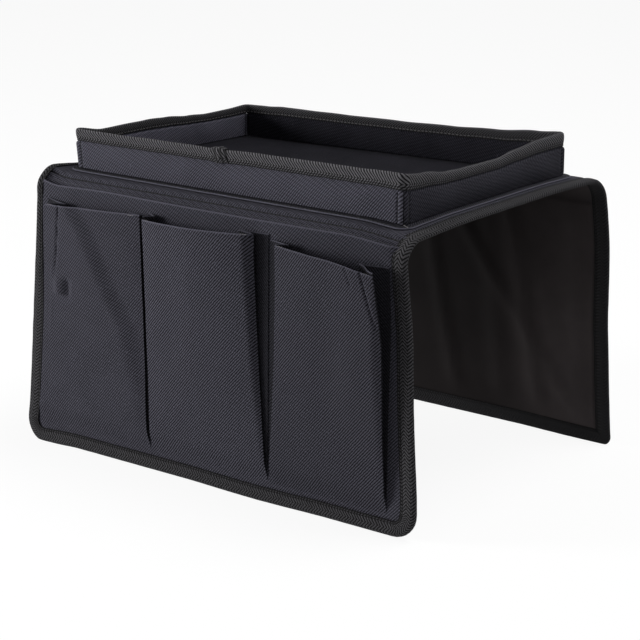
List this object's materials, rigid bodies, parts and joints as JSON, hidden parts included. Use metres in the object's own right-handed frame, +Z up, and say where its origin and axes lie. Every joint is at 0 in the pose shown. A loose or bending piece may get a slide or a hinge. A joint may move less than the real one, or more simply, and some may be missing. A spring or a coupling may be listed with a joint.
{
  "type": "armrest organizer",
  "caption": "Fabric saddle that hangs over a sofa armrest: a bound tray on top, pleated pockets on the front flap, a plain back flap.",
  "frame": {"origin": "centre of the top panel's underside, the face that rests on the armrest", "axes": "+X along the armrest, to the right when facing the pockets; -Y towards the pocket side; +Z up"},
  "size_m": [0.3292, 0.2473, 0.2165],
  "materials": {
    "twill": "matte",
    "tape": "matte",
    "lining": "satin",
    "board": "matte"
  },
  "bodies": {
    "saddle_top": {"back_fold_binding_left": "tape", "back_fold_binding_right": "tape", "back_fold_cloth": "twill", "back_fold_lining": "lining", "front_fold_binding_left": "tape", "front_fold_binding_right": "tape", "front_fold_cloth": "twill", "front_fold_lining": "lining", "top_binding_left": "tape", "top_binding_right": "tape", "top_board": "board", "top_cloth": "twill", "top_lining": "lining", "tray_back_wall_board": "board", "tray_back_wall_cloth": "twill", "tray_back_wall_lining": "twill", "tray_base_flange": "twill", "tray_floor_cloth": "twill", "tray_front_wall_board": "board", "tray_front_wall_cloth": "twill", "tray_front_wall_lining": "twill", "tray_left_wall_board": "board", "tray_left_wall_cloth": "twill", "tray_left_wall_lining": "twill", "tray_right_wall_board": "board", "tray_right_wall_cloth": "twill", "tray_right_wall_lining": "twill", "tray_rim_binding": "tape"},
    "front_flap": {"front_flap_binding": "tape", "front_flap_board": "board", "front_flap_cloth": "twill", "front_flap_lining": "lining", "pocket_1_gusset_left": "twill", "pocket_1_gusset_right": "twill", "pocket_2_gusset_left": "twill", "pocket_2_gusset_right": "twill", "pocket_3_gusset_left": "twill", "pocket_3_gusset_right": "twill", "wide_pocket_panel": "twill"},
    "pocket_1": {"pocket_1_front": "twill"},
    "pocket_2": {"pocket_2_front": "twill"},
    "pocket_3": {"pocket_3_front": "twill"},
    "back_flap": {"back_flap_binding": "tape", "back_flap_board": "board", "back_flap_cloth": "twill", "back_flap_lining": "lining"}
  },
  "joints": [
    {"name": "front_flap_fold", "type": "hinge", "parent": "saddle_top", "child": "front_flap", "pos_m": [0, -0.10438, -0.00154], "axis": [-1, 0, 0], "range_deg": [-84, 87.6], "deforming": ["front_fold_cloth", "front_fold_lining", "front_fold_binding_left", "front_fold_binding_right"]},
    {"name": "back_flap_fold", "type": "hinge", "parent": "saddle_top", "child": "back_flap", "pos_m": [0, 0.10438, -0.00154], "axis": [1, 0, 0], "range_deg": [-92.4, 87.6], "deforming": ["back_fold_cloth", "back_fold_lining", "back_fold_binding_left", "back_fold_binding_right"]},
    {"name": "pocket_1_mouth", "type": "hinge", "parent": "front_flap", "child": "pocket_1", "pos_m": [0, -0.1193, -0.17031], "axis": [1, 0, 0], "range_deg": [-3, 6], "deforming": ["pocket_1_gusset_left", "pocket_1_gusset_right"]},
    {"name": "pocket_2_mouth", "type": "hinge", "parent": "front_flap", "child": "pocket_2", "pos_m": [0, -0.1193, -0.17031], "axis": [1, 0, 0], "range_deg": [-2.4, 6], "deforming": ["pocket_2_gusset_left", "pocket_2_gusset_right"]},
    {"name": "pocket_3_mouth", "type": "hinge", "parent": "front_flap", "child": "pocket_3", "pos_m": [0, -0.1193, -0.17031], "axis": [1, 0, 0], "range_deg": [-3.2, 6], "deforming": ["pocket_3_gusset_left", "pocket_3_gusset_right"]}
  ]
}
